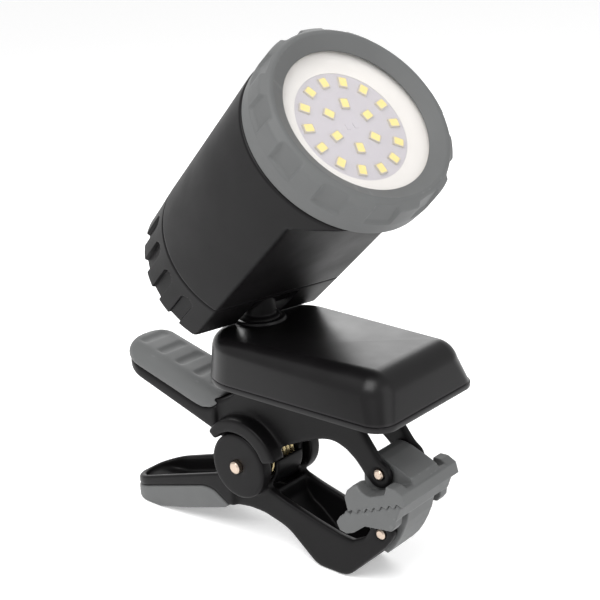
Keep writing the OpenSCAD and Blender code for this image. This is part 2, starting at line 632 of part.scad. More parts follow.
module rear_cap() color(black) head() difference() {
    union() {
        difference() {
            union() {
                difference() {
                    turned([[cap_x0, 0], [cap_x0, 30.6], [cap_x0 + 0.6, 31.15],
                        [seam_x - 0.45, barrel_r], [seam_x - 0.05, barrel_r - 0.35], [seam_x - 0.05, 0]]);
                    flat_side(flat_d, -20, 20);
                }
                // spigot inside the barrel
                difference() {
                    xcyl(28.9, seam_x - 1, seam_x + 3, 0, axis_z);
                    flat_side(flat_d - 2.1, 0, 20);
                }
            }
            // inside of the cap
            difference() {
                xcyl(27.1, cap_x0 + 2.5, seam_x + 5, 0, axis_z);
                flat_side(flat_d - 4, -20, 30);
                translate([-20, -slot_y - 3.2, -20]) cube([seam_x + 20 + 0.4, 2 * slot_y + 6.4, 28.4]);
                for (b = boss_at) xcyl(3.3, -20, seam_x + 5, b[0], axis_z + b[1]);
            }
        }
    }
    // slot for the neck
    translate([-20, -slot_y, -20]) cube([27.6, 2 * slot_y, 26.4]);
    // soft corner where the flat meets the rear
    translate([cap_x0, -50, flat_z]) rotate([0, 45, 0]) translate([-0.9, 0, -0.9]) cube([1.8, 100, 1.8]);
    for (i = [0:cap_slots - 1]) translate([0, 0, axis_z]) rotate([(i - (cap_slots - 1) / 2) * slot_step, 0, 0])
        slot_cut();
    xcyl(button_r + 0.1, -20, 0, 0, button_z);
    ycyl(tilt_pin_r + 0.01, -12.25, 12.25);
    for (b = boss_at) {
        xcyl(1.5, -20, 20, b[0], axis_z + b[1]);
        xcyl(2.7, -20, cap_x0 + 2, b[0], axis_z + b[1]);
        xcyl(10, seam_x + 3.1, seam_x + 6, b[0], axis_z + b[1]);
    }
}

module cap_screws() color(metal) head() for (b = boss_at) translate([cap_x0 + 0.6, b[0], axis_z + b[1]])
    rotate([0, 90, 0]) screw(2.5, 1.3, 1.2, 28);

module switch_button() color(grey) head() translate([0, 0, button_z]) rotate([0, 90, 0]) rotate_extrude()
    polygon([[0, cap_x0 - 0.7], [4.6, cap_x0 - 0.6], [5.9, cap_x0 - 0.1], [button_r, cap_x0 + 0.6],
        [button_r, cap_x0 + 2.6], [7.4, cap_x0 + 2.6], [7.4, cap_x0 + 3.4], [2, cap_x0 + 3.4], [2, cap_x0 + 4.2],
        [0, cap_x0 + 4.2]]);

module switch_body() color([0.15, 0.15, 0.16]) head() {
    translate([cap_x0 + 5.6, -4.5, 8.42]) cube([6, 9, 13.4]);
}

upper_lever();
lower_lever();
upper_grip();
lower_grip();
upper_jaw_pad();
lower_jaw_pad();
main_pin();
upper_jaw_pin();
lower_jaw_pin();
torsion_spring();
box_shell();
box_base();
shell_screws();
lever_screws();
battery_cell_1();
battery_cell_2();
battery_cell_3();
rear_contacts();
front_contacts();
neck();
neck_washer();
neck_retainer();
tilt_pin();
barrel();
bezel_ring();
lens();
lens_seal();
reflector();
led_board();
led_chips();
heat_sink();
standoffs();
driver_board();
rear_cap();
cap_screws();
switch_body();
switch_button();
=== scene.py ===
"""Looks of the clip-on reading lamp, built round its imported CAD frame.

World lengths are metres. Shapes are drawn in mm along the local axes of the head (HEAD) or the clamp (CLAMP).
"""

import json
import math

import bmesh
import bpy
from mathutils import Matrix, Vector


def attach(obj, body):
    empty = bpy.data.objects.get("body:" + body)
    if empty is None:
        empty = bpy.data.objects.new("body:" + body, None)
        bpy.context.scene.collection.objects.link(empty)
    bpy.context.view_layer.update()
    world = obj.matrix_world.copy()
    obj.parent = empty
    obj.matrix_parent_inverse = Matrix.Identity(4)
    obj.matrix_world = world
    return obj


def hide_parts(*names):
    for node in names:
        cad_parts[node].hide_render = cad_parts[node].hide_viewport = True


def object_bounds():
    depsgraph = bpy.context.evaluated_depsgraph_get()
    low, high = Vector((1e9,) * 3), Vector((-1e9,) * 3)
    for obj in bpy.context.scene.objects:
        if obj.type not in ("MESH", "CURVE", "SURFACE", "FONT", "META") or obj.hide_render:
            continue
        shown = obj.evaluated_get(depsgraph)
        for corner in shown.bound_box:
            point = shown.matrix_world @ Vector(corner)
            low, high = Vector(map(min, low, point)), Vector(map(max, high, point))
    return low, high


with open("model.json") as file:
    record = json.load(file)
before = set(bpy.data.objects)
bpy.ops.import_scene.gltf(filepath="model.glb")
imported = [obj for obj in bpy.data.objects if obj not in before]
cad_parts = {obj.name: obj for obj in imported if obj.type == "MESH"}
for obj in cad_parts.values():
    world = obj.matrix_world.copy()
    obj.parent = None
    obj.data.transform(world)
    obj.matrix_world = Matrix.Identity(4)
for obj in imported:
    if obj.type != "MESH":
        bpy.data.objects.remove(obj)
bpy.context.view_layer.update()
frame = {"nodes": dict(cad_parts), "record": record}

MM = 0.001
NODES = frame["nodes"]
JOINTS = {joint["name"]: joint for joint in frame["record"]["behaviour"]["joints"]}
BODY_OF = {node: body for body, members in frame["record"]["behaviour"]["bodies"].items() for node in members}

# The head's own axes: origin on the tilt hinge, x forward along the barrel, y along the tilt pin.
forward = Vector(JOINTS["button_press"]["axis"]).normalized()
sideways = -Vector(JOINTS["head_tilt"]["axis"]).normalized()
HEAD = Matrix((forward, sideways, forward.cross(sideways))).transposed().to_4x4()
HEAD.translation = Vector(JOINTS["head_tilt"]["pos_m"])
# The clamp's own axes: origin on the main pin, directions as the row's.
CLAMP = Matrix.Translation(Vector(JOINTS["clamp_open"]["pos_m"]))


def to_mm(points, axes):
    """World points as mm along the given axes."""
    inverse = axes.inverted()
    return [(inverse @ point) / MM for point in points]


def middle(points):
    """Centre of the box round some points."""
    return [(min(p[i] for p in points) + max(p[i] for p in points)) / 2 for i in range(3)]


def local_box_mm(node, axes):
    """Lowest and highest corner of a CAD node along the given axes, in mm."""
    inverse = axes.inverted()
    points = [inverse @ vertex.co for vertex in NODES[node].data.vertices]
    low = [min(p[i] for p in points) / MM for i in range(3)]
    high = [max(p[i] for p in points) / MM for i in range(3)]
    return low, high


# ---------------------------------------------------------------- materials

def linear(srgb):
    """An 8-bit screen colour as scene-linear numbers with alpha."""
    return tuple(((c / 255 + 0.055) / 1.055) ** 2.4 if c > 10 else c / 255 / 12.92 for c in srgb) + (1.0,)


class Shader:
    """A Principled material with object-space noise to drive its colour, roughness and bump."""

    def __init__(self, name, colour, roughness, metallic=0.0, coat=0.0, sheen=0.0, specular=0.5):
        self.material = bpy.data.materials.new(name)
        self.material.use_nodes = True
        self.tree = self.material.node_tree
        self.bsdf = self.tree.nodes["Principled BSDF"]
        self.bsdf.inputs["Base Color"].default_value = colour
        self.bsdf.inputs["Roughness"].default_value = roughness
        self.bsdf.inputs["Metallic"].default_value = metallic
        self.bsdf.inputs["Coat Weight"].default_value = coat
        self.bsdf.inputs["Coat Roughness"].default_value = 0.08
        self.bsdf.inputs["Sheen Weight"].default_value = sheen
        self.bsdf.inputs["Specular IOR Level"].default_value = specular
        self.colour, self.roughness = colour, roughness
        self.coords = self.tree.nodes.new("ShaderNodeTexCoord").outputs["Object"]

    def noise(self, size_mm, detail=2.0, stretch=(1, 1, 1)):
        """A noise whose blobs are about size_mm across."""
        mapping = self.tree.nodes.new("ShaderNodeMapping")
        mapping.inputs["Scale"].default_value = stretch
        self.tree.links.new(self.coords, mapping.inputs["Vector"])
        node = self.tree.nodes.new("ShaderNodeTexNoise")
        node.inputs["Scale"].default_value = 1 / (size_mm * MM)
        node.inputs["Detail"].default_value = detail
        self.tree.links.new(mapping.outputs["Vector"], node.inputs["Vector"])
        return node.outputs["Fac"]

    def ramp(self, value, low, high, start=0.35, end=0.65):
        """value mapped smoothly from low to high between start and end."""
        node = self.tree.nodes.new("ShaderNodeMapRange")
        node.interpolation_type = "SMOOTHSTEP"
        for name, number in (("From Min", start), ("From Max", end), ("To Min", low), ("To Max", high)):
            node.inputs[name].default_value = number
        self.tree.links.new(value, node.inputs["Value"])
        return node.outputs["Result"]

    def tint(self, value, other, share=1.0):
        """Base colour moves to other as value goes from 0 to 1."""
        mix = self.tree.nodes.new("ShaderNodeMix")
        mix.data_type = "RGBA"
        source = self.bsdf.inputs["Base Color"]
        if source.is_linked:
            self.tree.links.new(source.links[0].from_socket, mix.inputs["A"])
        else:
            mix.inputs["A"].default_value = self.colour
        mix.inputs["B"].default_value = other
        scaled = self.ramp(value, 0.0, share, 0.0, 1.0)
        self.tree.links.new(scaled, mix.inputs["Factor"])
        self.tree.links.new(mix.outputs["Result"], source)
        return self

    def rough(self, value, spread):
        """Roughness wanders by spread either way as value goes from 0 to 1."""
        out = self.ramp(value, self.roughness - spread, self.roughness + spread, 0.2, 0.8)
        self.tree.links.new(out, self.bsdf.inputs["Roughness"])
        return self

    def bump(self, value, strength, depth_mm):
        """A relief of value, laid over the bumps already there."""
        node = self.tree.nodes.new("ShaderNodeBump")
        node.inputs["Strength"].default_value = strength
        node.inputs["Distance"].default_value = depth_mm * MM
        self.tree.links.new(value, node.inputs["Height"])
        target = self.bsdf.inputs["Normal"]
        if target.is_linked:
            self.tree.links.new(target.links[0].from_socket, node.inputs["Normal"])
        self.tree.links.new(node.outputs["Normal"], target)
        return self

    def edge_wear_and_highlight(self, other, share):
        """Convex edges turn a little towards other: partly wear, partly a painted edge highlight."""
        geometry = self.tree.nodes.new("ShaderNodeNewGeometry")
        convex = self.ramp(geometry.outputs["Pointiness"], 0.0, 1.0, 0.52, 0.6)
        return self.tint(convex, other, share)


def moulded_plastic(name, colour, roughness, grain_mm=0.22, grain=0.22, specular=0.14):
    """Hard moulded plastic: a fine grain, slow waves in the skin, uneven gloss and paler edges, partly wear and
    partly a painted highlight.
    """
    shader = Shader(name, colour, roughness, specular=specular)
    shader.bump(shader.noise(grain_mm, 3.0), grain, 0.05)
    shader.bump(shader.noise(9.0, 1.0), 0.12, 0.25)
    shader.rough(shader.noise(14.0, 3.0), 0.05)
    shader.tint(shader.noise(30.0, 2.0), linear((23, 22, 23)), 0.5)
    return shader.edge_wear_and_highlight(linear((62, 60, 62)), 0.2)


def moulded_rubber(name, colour, paler):
    """Matt soft-touch rubber that clouds toward a paler shade, with paler edges that are partly wear and partly
    a painted highlight.
    """
    shader = Shader(name, colour, 0.62, sheen=0.05, specular=0.3)
    shader.bump(shader.noise(0.3, 3.0), 0.3, 0.06)
    shader.rough(shader.noise(11.0, 3.0), 0.07)
    shader.tint(shader.noise(16.0, 3.0), paler, 0.35)
    return shader.edge_wear_and_highlight(paler, 0.5)


def metal(name, colour, roughness, brushed=(1, 1, 1)):
    """Metal with fine marks, drawn out into lines where brushed stretches them."""
    shader = Shader(name, colour, roughness, metallic=1.0)
    shader.bump(shader.noise(0.2, 2.0, brushed), 0.15, 0.02)
    shader.rough(shader.noise(3.0, 2.0), 0.06)
    return shader.tint(shader.noise(4.0, 3.0), tuple(c * 0.7 for c in colour[:3]) + (1,), 0.5)


BLACK = moulded_plastic("black_plastic", linear((12, 11, 12)), 0.42).material
BLACK_BOX = moulded_plastic("black_plastic_box", linear((13, 12, 13)), 0.32, 0.16, 0.12, 0.24).material
GREY = moulded_rubber("grey_rubber", linear((88, 89, 89)), linear((103, 104, 104))).material
PIN = metal("pin_metal", linear((204, 186, 170)), 0.34).material
SPRING = metal("spring_wire", linear((214, 196, 150)), 0.3, (1, 6, 1)).material
ZINC = metal("zinc", linear((190, 190, 194)), 0.35).material
ALLOY = metal("alloy", linear((200, 200, 204)), 0.4, (1, 8, 1)).material
SEAL = moulded_rubber("seal_black", linear((22, 22, 22)), linear((34, 34, 34))).material


def white_dish():
    """Glossy white moulding, a little warm."""
    shader = Shader("white_dish", linear((214, 208, 202)), 0.2, coat=0.35)
    shader.bump(shader.noise(2.5, 2.0), 0.05, 0.03)
    shader.rough(shader.noise(6.0, 2.0), 0.05)
    return shader.tint(shader.noise(7.0, 3.0), linear((205, 199, 192)), 0.6).material


def board_mask():
    """White solder mask of the board that holds the chips."""
    shader = Shader("led_white_board", linear((168, 160, 166)), 0.45, coat=0.1)
    shader.bump(shader.noise(0.5, 3.0), 0.12, 0.02)
    shader.bump(shader.noise(2.2, 0.5), 0.1, 0.04)
    shader.rough(shader.noise(4.0, 2.0), 0.06)
    return shader.tint(shader.noise(5.0, 3.0), linear((157, 148, 156)), 0.5).material


def phosphor():
    """Yellow phosphor in a chip's window."""
    shader = Shader("led_yellow", linear((232, 206, 56)), 0.4, coat=0.2)
    shader.bump(shader.noise(0.25, 2.0), 0.15, 0.03)
    return shader.tint(shader.noise(0.5, 2.0), linear((222, 188, 40)), 0.5).material


def clear_lens():
    """A thin clear pane: see-through, with a mirror that grows toward grazing angles."""
    material = bpy.data.materials.new("clear_lens")
    material.use_nodes = True
    tree = material.node_tree
    bsdf = tree.nodes["Principled BSDF"]
    bsdf.inputs["Base Color"].default_value = (0.96, 0.98, 1.0, 1)
    bsdf.inputs["Roughness"].default_value = 0.04
    bsdf.inputs["Alpha"].default_value = 0.13
    bsdf.inputs["Specular IOR Level"].default_value = 1.0
    coords = tree.nodes.new("ShaderNodeTexCoord").outputs["Object"]
    noise = tree.nodes.new("ShaderNodeTexNoise")
    noise.inputs["Scale"].default_value = 1 / (8 * MM)
    tree.links.new(coords, noise.inputs["Vector"])
    bump = tree.nodes.new("ShaderNodeBump")
    bump.inputs["Strength"].default_value = 0.03
    bump.inputs["Distance"].default_value = 0.05 * MM
    tree.links.new(noise.outputs["Fac"], bump.inputs["Height"])
    tree.links.new(bump.outputs["Normal"], bsdf.inputs["Normal"])
    return material


DISH = white_dish()
BOARD = board_mask()
PHOSPHOR = phosphor()
LENS = clear_lens()
CHIP_BODY = moulded_plastic("chip_body", linear((206, 188, 150)), 0.45, 0.3, 0.1).material
SWITCH = moulded_plastic("switch_plastic", linear((30, 30, 33)), 0.5).material
GREEN = moulded_plastic("green_board", linear((24, 82, 48)), 0.4).material
CELL = moulded_plastic("cell_sleeve", linear((52, 70, 66)), 0.28, 0.4, 0.05).material


# ---------------------------------------------------------------- mesh tools

def link(mesh, name, material, stands_for, body, smooth=True):
    """Makes an object of the mesh, rides it on a CAD body and hides the CAD nodes it stands for."""
    piece = bpy.data.objects.new(name, mesh)
    bpy.context.scene.collection.objects.link(piece)
    for m in material if isinstance(material, list) else [material]:
        mesh.materials.append(m)
    for polygon in mesh.polygons:
        polygon.use_smooth = smooth
    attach(piece, body)
    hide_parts(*stands_for)
    return piece


def crease(piece, angle=35):
    """Shades edges sharper than angle as sharp."""
    mesh = piece.data
    work = bmesh.new()
    work.from_mesh(mesh)
    for edge in work.edges:
        if len(edge.link_faces) == 2 and edge.calc_face_angle() > math.radians(angle):
            edge.smooth = False
    work.to_mesh(mesh)
    work.free()


def baked(piece, modifiers):
    """Applies a list of (type, settings) modifiers and returns the finished mesh."""
    for kind, settings in modifiers:
        modifier = piece.modifiers.new(kind.lower(), kind)
        for key, value in settings.items():
            setattr(modifier, key, value)
    graph = bpy.context.evaluated_depsgraph_get()
    return bpy.data.meshes.new_from_object(piece.evaluated_get(graph))


BLEND_FADE = 1.5


def moulded(node, material, voxel_mm, relax, keep, blends=(), shape=None):
    """A CAD node with the small rounds of a moulded part on every edge.

    relax is the number of smoothing passes and keep the share of faces that stays. Each blend is (low corner,
    high corner, passes): inside that box of clamp mm, edges and steps melt together over more smoothing passes,
    fading in over BLEND_FADE. shape takes a point in clamp mm and gives back where it should be.
    """
    source = NODES[node].data.copy()
    source.materials.clear()
    work = bmesh.new()
    work.from_mesh(source)
    bmesh.ops.remove_doubles(work, verts=work.verts, dist=1e-6)
    work.to_mesh(source)
    work.free()
    scratch = scratch_object(source, "scratch")
    mesh = baked(scratch, [("REMESH", {"mode": "VOXEL", "voxel_size": voxel_mm * MM}),
                           ("SMOOTH", {"factor": 0.5, "iterations": relax})])
    inverse = CLAMP.inverted()
    if shape:
        for vertex in mesh.vertices:
            vertex.co = CLAMP @ (shape((inverse @ vertex.co) / MM) * MM)
    scratch.data = mesh
    steps = [("SMOOTH", {"factor": 0.5, "iterations": 3})] if shape else []
    for i, (low, high, passes) in enumerate(blends):
        group = scratch.vertex_groups.new(name=f"blend_{i}")
        for vertex in mesh.vertices:
            p = (inverse @ vertex.co) / MM
            inside = min(min(p[k] - low[k], high[k] - p[k]) for k in (0, 2))
            if inside > 0 and low[1] < abs(p.y) < high[1]:
                group.add([vertex.index], min(1.0, inside / BLEND_FADE), "REPLACE")
        steps.append(("SMOOTH", {"factor": 0.5, "iterations": passes, "vertex_group": group.name}))
    mesh = baked(scratch, steps + [("DECIMATE", {"ratio": keep})])
    bpy.data.objects.remove(scratch)
    mesh.name = node
    return link(mesh, node + "_moulded", material, [node], BODY_OF[node])


def loft(work, rings, closed=False, cap_start=False, cap_end=False):
    """Joins rings of equally many points into a skin; closed also joins the last ring to the first."""
    verts = [[work.verts.new(p) for p in ring] for ring in rings]
    count = len(rings[0])
    spans = len(rings) if closed else len(rings) - 1
    for i in range(spans):
        a, b = verts[i], verts[(i + 1) % len(verts)]
        for k in range(count):
            n = (k + 1) % count
            work.faces.new((a[k], a[n], b[n], b[k]))
    if cap_start:
        work.faces.new(verts[0][::-1])
    if cap_end:
        work.faces.new(verts[-1])
    return verts


def finish_mesh(work, name):
    """Closes a bmesh into a mesh with its faces turned outward."""
    bmesh.ops.recalc_face_normals(work, faces=work.faces)
    mesh = bpy.data.meshes.new(name)
    work.to_mesh(mesh)
    work.free()
    return mesh


def rounded_profile(points, steps=5):
    """A profile of (x, r, round radius) corners in mm as (x, r) points with its corners rounded."""
    out = []
    count = len(points)
    for i, (x, r, radius) in enumerate(points):
        here = Vector((x, r))
        if radius <= 0:
            out.append((x, r))
            continue
        before = Vector(points[i - 1][:2]) - here
        after = Vector(points[(i + 1) % count][:2]) - here
        half = before.angle(after) / 2
        reach = min(radius / math.tan(half), before.length * 0.48, after.length * 0.48)
        start, end = here + before.normalized() * reach, here + after.normalized() * reach
        for s in range(steps + 1):
            t = s / steps
            p = start * (1 - t) ** 2 + here * 2 * t * (1 - t) + end * t ** 2
            out.append((p.x, p.y))
    return out


def turned_rings(axes, centre_z, profile, count, radius_of=None):
    """Rings of (x, r) points in mm, turned round the local x axis at height centre_z.

    radius_of(x, r, angle) may change r.
    """
    rings = []
    for x, r in profile:
        ring = []
        for k in range(count):
            a = 2 * math.pi * k / count
            rr = radius_of(x, r, a) if radius_of else r
            ring.append(axes @ (Vector((x, rr * math.sin(a), centre_z - rr * math.cos(a))) * MM))
        rings.append(ring)
    return rings


def smoothstep(t):
    """0 to 1 with a soft start and end."""
    t = max(0.0, min(1.0, t))
    return t * t * (3 - 2 * t)


# ---------------------------------------------------------------- head

lens_low, lens_high = local_box_mm("lens", HEAD)
axis_z = (lens_low[2] + lens_high[2]) / 2
ring_low, ring_high = local_box_mm("bezel_ring", HEAD)
cap_low = local_box_mm("rear_cap", HEAD)[0]
barrel_low, barrel_high = local_box_mm("barrel", HEAD)
flat_d = axis_z - cap_low[2]
barrel_r = barrel_high[1]
seam_x = barrel_low[0]
# The flat under the barrel starts to run out here, this steeply, so that the barrel meets the bezel round.
RAMP_X, RAMP_SLOPE, RAMP_SOFT = 59.3, 0.954, 1.2


def with_flat(x, r, angle, distance, soft=0.9):
    """Radius r cut by the flat on the underside, with a soft edge between the two."""
    c = math.cos(angle)
    if c <= 0.05:
        return r
    cut = distance / c
    gap = max(soft - abs(cut - r), 0.0)
    return min(cut, r) - gap * gap / (4 * soft)


def ramp(x, start):
    """How far the flat has run out toward the bezel at x, starting softly near start."""
    t = x - start
    if t < -RAMP_SOFT:
        return 0.0
    return RAMP_SLOPE * (t if t > RAMP_SOFT else (t + RAMP_SOFT) ** 2 / (4 * RAMP_SOFT))


def build_barrel():
    """The barrel's wall, its flat underside and the spigot that carries the bezel ring."""
    x0, x1 = seam_x, ring_low[0]
    wall, flat_wall = 2.4, 2
    inner_r = barrel_r - wall
    dense_x = 57.2  # rings lie close together from here on, where the flat runs out
    inner_end = 61.4
    spigot_r, spigot_x = 27.6, 75.8
    lens_seat_r, lens_seat_x = 26.7, 72.0
    bore_r = 25.1
    outer = [(x0 + 0.02, barrel_r - 0.5), (x0 + 0.2, barrel_r - 0.12), (x0 + 0.55, barrel_r)]
    outer += [(x0 + 1 + i * (dense_x - 0.2 - x0) / 30, barrel_r) for i in range(30)]
    outer += [(dense_x + i * (x1 - 1 - dense_x) / 36, barrel_r) for i in range(37)]
    front = [(x1 - 0.6, barrel_r - 0.05), (x1 - 0.25, barrel_r - 0.25), (x1 - 0.06, barrel_r - 0.7),
             (x1 - 0.05, spigot_r), (spigot_x, spigot_r), (spigot_x, lens_seat_r)]
    inner = [(lens_seat_x, lens_seat_r), (lens_seat_x, bore_r), (x1 - 1, bore_r), (x1 - 3.4, inner_r)]
    inner += [(x1 - 3.8 - i * (x1 - inner_end) / 8, inner_r) for i in range(9)]
    inner += [(x0 + 0.05, inner_r)]

    def radius(x, r, angle):
        if r < spigot_r + 0.1 or x > x1:
            return r
        if r < barrel_r - 1:
            return with_flat(x, r, angle, flat_d - flat_wall + ramp(x, RAMP_X + 0.8))
        lip = smoothstep(1 - (x - x0) / 0.5) * 0.3
        return min(r, with_flat(x, r, angle, flat_d + ramp(x, RAMP_X) - lip))

    work = bmesh.new()
    loft(work, turned_rings(HEAD, axis_z, outer + front + inner, 288, radius), closed=True)
    crease(link(finish_mesh(work, "barrel"), "barrel_shell", BLACK, ["barrel"], "head"), 40)


def build_bezel():
    """The rubber ring round the lens, with twelve flat grips that end short of its rear edge."""
    x0, x1 = ring_low[0], ring_high[0]
    outer_r = ring_high[1]
    opening, lip_r, sleeve_r = 23.3, 26.2, 27.7
    corners = [(x0, sleeve_r, 0), (x0, outer_r - 0.25, 0.4), (x0 + 5, outer_r, 3.0),
               (x1 - 1.9, outer_r - 0.35, 1.6), (x1 - 0.05, outer_r - 2.7, 1.4), (x1 - 0.1, outer_r - 3.7, 1.2),
               (x1 - 2.6, opening + 0.1, 0.35), (x1 - 3.05, opening, 0.2), (x1 - 3.05, lip_r, 0),
               (x1 - 5.9, lip_r, 0), (x1 - 5.9, sleeve_r, 0)]
    corners = rounded_profile(corners, 7)
    outside_r, ring_gap = 28, 0.45
    profile = []
    for (xa, ra), (xb, rb) in zip(corners, corners[1:] + corners[:1]):
        pieces = 1
        if ra > outside_r and rb > outside_r:
            pieces = max(1, int(math.hypot(xb - xa, rb - ra) / ring_gap))
        profile += [(xa + (xb - xa) * i / pieces, ra + (rb - ra) * i / pieces) for i in range(pieces)]
    grips, grip_half, grip_depth, grip_slope = 12, 4.3, 0.95, 0.13
    grip_start = x0 + 5.3
    pitch = 2 * math.pi / grips

    def radius(x, r, angle):
        if r < outside_r + 0.2:
            return r
        off = (angle / pitch) % 1 - 0.5
        across = off * pitch * 30
        along = x - grip_start
        inside = smoothstep((grip_half - abs(across)) / 0.55) * smoothstep(along / 0.6)
        floor = (outer_r - grip_depth - along * grip_slope) / math.cos(off * pitch)
        return r + (min(floor, r) - r) * inside

    work = bmesh.new()
    loft(work, turned_rings(HEAD, axis_z, profile, 480, radius), closed=True)
    link(finish_mesh(work, "bezel_ring"), "bezel_rubber", GREY, ["bezel_ring"], "head")


def build_reflector():
    """The white dish between the board and the bezel's opening."""
    low, high = local_box_mm("reflector", HEAD)
    x0, x1 = low[0], high[0]
    throat_x, throat_r, rim_r = 75.72, 18.1, 24.3
    pocket_x, pocket_r = x0 + 1.6, 20.3
    outer = high[1]
    dish = [(throat_x + (x1 - throat_x) * (t / 10) ** 2.2, throat_r + (rim_r - throat_r) * (t / 10))
            for t in range(1, 11)]
    profile = [(pocket_x, throat_r), (throat_x, throat_r)] + dish
    profile += [(x1, outer), (x0, outer), (x0, pocket_r), (pocket_x, pocket_r)]
    work = bmesh.new()
    loft(work, turned_rings(HEAD, axis_z, profile, 160), closed=True)
    crease(link(finish_mesh(work, "reflector"), "reflector_dish", DISH, ["reflector"], "head"), 40)


def build_lens():
    """The clear pane, with a small chamfer round both faces."""
    x0, x1, r = lens_low[0], lens_high[0], lens_high[1]
    profile = [(x0, 0.01), (x0, r - 0.2), (x0 + 0.2, r), (x1 - 0.2, r), (x1, r - 0.3), (x1, 0.01)]
    work = bmesh.new()
    loft(work, turned_rings(HEAD, axis_z, profile, 128))
    bmesh.ops.holes_fill(work, edges=work.edges)
    crease(link(finish_mesh(work, "lens"), "lens_pane", LENS, ["lens"], "head"), 30)


def islands(node):
    """The separate lumps of a CAD node, as lists of points, in the same order each run."""
    work = bmesh.new()
    work.from_mesh(NODES[node].data)
    bmesh.ops.remove_doubles(work, verts=work.verts, dist=1e-6)
    seen, found = set(), []
    for first in work.verts:
        if first in seen:
            continue
        seen.add(first)
        stack, lump = [first], []
        while stack:
            v = stack.pop()
            lump.append(v.co.copy())
            for edge in v.link_edges:
                other = edge.other_vert(v)
                if other not in seen:
                    seen.add(other)
                    stack.append(other)
        found.append(lump)
    work.free()
    return found


def build_chips():
    """Each chip: a pale body with a shallow yellow window, its long side radial."""
    work = bmesh.new()
    for lump in islands("led_chips"):
        local = to_mm(lump, HEAD)
        centre = sum(local, Vector()) / len(local)
        base, top = min(p.x for p in local), max(p.x for p in local)
        radial = Vector((0, centre.y, centre.z - axis_z)).normalized()
        across = Vector((1, 0, 0)).cross(radial)

        def ring(x, a, b, corner):
            """A rectangle of half sizes a and b at x, with its corners cut."""
            pts = []
            for sa, sb in ((1, 1), (-1, 1), (-1, -1), (1, -1)):
                for first in (True, False) if sa * sb > 0 else (False, True):
                    da, db = (a, b - corner) if first else (a - corner, b)
                    pts.append(Vector((x, centre.y, centre.z)) + radial * sa * da + across * sb * db)
            return [HEAD @ (p * MM) for p in pts]

        window = ring(top, 1.42, 1.16, 0.3)
        loft(work, [ring(base, 1.75, 1.4, 0.12), ring(top - 0.08, 1.75, 1.4, 0.12),
                    ring(top, 1.68, 1.33, 0.14), window])
        body_faces = len(work.faces)
        loft(work, [window, ring(top - 0.06, 1.36, 1.1, 0.3)], cap_end=True)
        work.faces.ensure_lookup_table()
        for face in work.faces[body_faces:]:
            face.material_index = 1
    mesh = finish_mesh(work, "led_chips")
    link(mesh, "led_chip_set", [CHIP_BODY, PHOSPHOR], ["led_chips"], "head", smooth=False)


def scratch_object(mesh, name):
    """An object that is only there for a modifier to work on."""
    scratch = bpy.data.objects.new(name, mesh)
    bpy.context.scene.collection.objects.link(scratch)
    return scratch


def cutter_box(low, high, axes, bevel_mm):
    """A bevelled box in local mm, as a scratch object for a boolean cut."""
    mesh = bpy.data.meshes.new("cutter")
    work = bmesh.new()
    bmesh.ops.create_cube(work, size=1)
    for v in work.verts:
        v.co = axes @ (Vector([low[i] + (v.co[i] + 0.5) * (high[i] - low[i]) for i in range(3)]) * MM)
    bmesh.ops.bevel(work, geom=work.edges[:], offset=bevel_mm * MM, segments=3, profile=0.5, affect="EDGES")
    work.to_mesh(mesh)
    work.free()
    return scratch_object(mesh, "cutter")


def cutter_round(radius, x0, x1, y, z, axes, count=48):
    """A cylinder along local x, as a scratch object for a boolean cut."""
    work = bmesh.new()
    rings = [[axes @ (Vector((x, y + radius * math.cos(2 * math.pi * k / count),
                              z + radius * math.sin(2 * math.pi * k / count))) * MM) for k in range(count)]
             for x in (x0, x1)]
    loft(work, rings, cap_start=True, cap_end=True)
    return scratch_object(finish_mesh(work, "cutter"), "cutter")


def carve(mesh, name, cutters):
    """Cuts the scratch objects out of a closed mesh."""
    scratch = scratch_object(mesh, name)
    cuts = [("BOOLEAN", {"operation": "DIFFERENCE", "object": c, "solver": "EXACT"}) for c in cutters]
    result = baked(scratch, cuts)
    bpy.data.objects.remove(scratch)
    for c in cutters:
        bpy.data.objects.remove(c)
    return result


